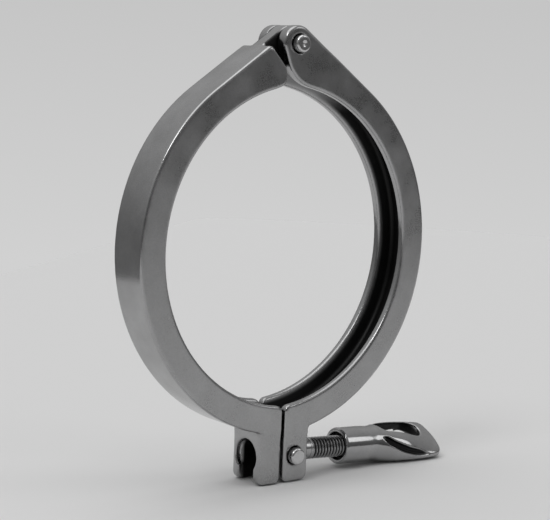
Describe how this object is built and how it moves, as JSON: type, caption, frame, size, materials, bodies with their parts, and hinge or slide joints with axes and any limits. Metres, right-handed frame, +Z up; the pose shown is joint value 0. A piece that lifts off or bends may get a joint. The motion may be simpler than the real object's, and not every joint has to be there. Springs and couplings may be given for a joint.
{
  "type": "hinged pipe clamp",
  "caption": "Hinged two-half ring clamp with an inner V groove, a swing eyebolt and a loop-handled nut, for joining flanged tube ends.",
  "frame": {"origin": "under the middle of the bounding box, on the plane the two lugs and the nut handle stand on", "axes": "+Z up towards the hinge, +Y along the pipe away from the front face, +X towards the half that carries the swing bolt"},
  "size_m": [0.1412, 0.0216, 0.1596],
  "materials": {
    "cast_steel": "fine blasted stainless casting, outside belt-polished",
    "pin_steel": "bright turned stainless",
    "thread_steel": "rolled stainless thread",
    "polished_steel": "tumbled and polished stainless"
  },
  "bodies": {
    "hinge_half": {"hinge_half": "cast_steel", "hinge_pin": "pin_steel", "bolt_pin": "pin_steel"},
    "fork_half": {"fork_half": "cast_steel"},
    "swing_bolt": {"swing_bolt": "thread_steel"},
    "handle_nut": {"handle_nut": "polished_steel"}
  },
  "joints": [
    {"name": "ring_hinge", "type": "hinge", "parent": "hinge_half", "child": "fork_half", "pos_m": [-0.00893, 0, 0.1534], "axis": [0, 1, 0], "range_deg": [0, 110]},
    {"name": "bolt_swing", "type": "hinge", "parent": "hinge_half", "child": "swing_bolt", "pos_m": [-0.00373, 0, 0.0095], "axis": [0, 1, 0], "range_deg": [-15, 176.7]},
    {"name": "nut_spin", "type": "hinge", "parent": "swing_bolt", "child": "handle_nut", "pos_m": [0.02213, 0, 0.00801], "axis": [0.9983, 0, -0.0576], "continuous": true}
  ]
}
